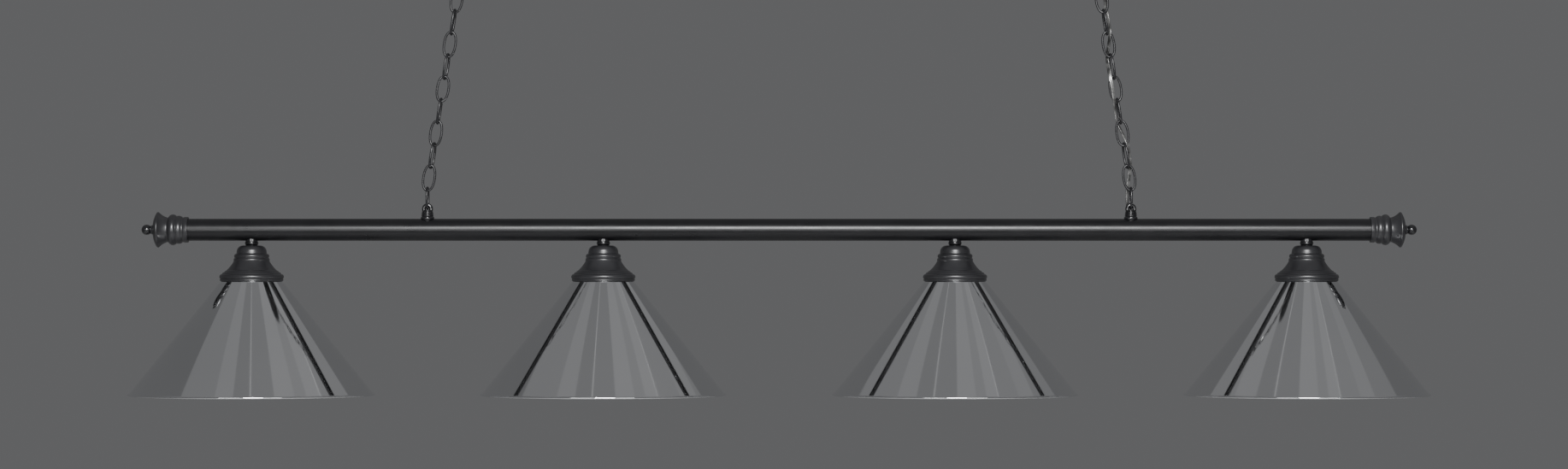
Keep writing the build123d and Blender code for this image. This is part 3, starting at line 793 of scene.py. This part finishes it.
def make_cord():
    """The cord in three stretches, divided where the chain's pivots are."""
    line = smooth_line(cord_points())
    links = joint["sway"]
    level = joint["level"]
    top_cut = min(range(len(line)), key=lambda k: abs(line[k].z - (links.z + 16 * MM)))
    mid_cut = min(range(len(line)), key=lambda k: abs(line[k].z - (links.z + level.z) / 2))
    sweep_cord("cord_top", line, 0, top_cut, ["cord_upper"])
    sweep_cord("cord_woven", line, top_cut, mid_cut, ["cord_chain"])
    sweep_cord("cord_foot", line, mid_cut, len(line) - 1, ["cord_lower"])


make_cord()


# ---------------------------------------------------------------- floor and light

FLOOR_SIZE = 7.0
FLOOR_Z = -2.4
LIGHT_DISTANCE = 6.2
FRONT_RISE = 2.4
FRONT_SHIFT = 0.2
LOW_DROP = 0.05
SIDE_SHIFT = 2.2
CEILING_EDGE = -3.8
CEILING_BACK = 0.8
CEILING_RISE = 3.2
CEILING_DEPTH = 6.0
CEILING = ((1.6, 0.06), (0.8, 0.09), (0.7, 0.045), (0.05, 0.2), (0.95, 0.055), (0.8, 0.11), (0.45, 0.085),
           (0.5, 0.115), (0.03, 0.25), (0.9, 0.07), (0.7, 0.085), (1.2, 0.05))


def make_floor():
    """Plain pale floor under the lamp, at the height a room has."""
    bpy.ops.mesh.primitive_plane_add(size=FLOOR_SIZE, location=(0, 0, FLOOR_Z))
    floor = bpy.context.object
    floor.name = "floor"
    floor.data.materials.append(floor_paint())


def panel(name, place, aim, size, glow):
    """A soft light panel of that radiance; it shows in reflections but not to the camera."""
    data = bpy.data.lights.new(name, "AREA")
    data.shape = "RECTANGLE"
    data.size, data.size_y = size
    data.energy = glow * math.pi * size[0] * size[1]
    data.color = (0.985, 0.99, 1.0)
    light = bpy.data.objects.new(name, data)
    light.location = place
    light.rotation_euler = (Vector(aim) - Vector(place)).to_track_quat("-Z", "Y").to_euler()
    light.visible_camera = False
    bpy.context.scene.collection.objects.link(light)


def make_light():
    """A wide soft light over the camera, dim ones beside it, and faint panels of (width, glow)
    side by side on the ceiling."""
    world = bpy.data.worlds.new("studio")
    bpy.context.scene.world = world
    world.use_nodes = True
    background = world.node_tree.nodes["Background"]
    background.inputs["Color"].default_value = (0.122, 0.123, 0.126, 1)
    background.inputs["Strength"].default_value = 1.0
    centre = (0, 0, bar_z)
    low = bar_z - LOW_DROP
    panel("front_soft", (FRONT_SHIFT, -LIGHT_DISTANCE, bar_z + FRONT_RISE), centre, (2.0, 1.5), 42)
    panel("low_soft", (0.0, -LIGHT_DISTANCE, low), centre, (2.2, 0.8), 3)
    for word, side in (("left", -1), ("right", 1)):
        place = (side * SIDE_SHIFT, -LIGHT_DISTANCE, low)
        panel(f"side_soft_{word}", place, centre, (2.2, 0.8), 7)
    edge = CEILING_EDGE
    for i, (width, glow) in enumerate(CEILING):
        x = edge + width / 2
        place = (x, CEILING_BACK, CEILING_RISE)
        panel(f"ceiling_panel_{i}", place, (x, CEILING_BACK, 0), (width, CEILING_DEPTH), glow)
        edge += width


make_floor()
make_light()
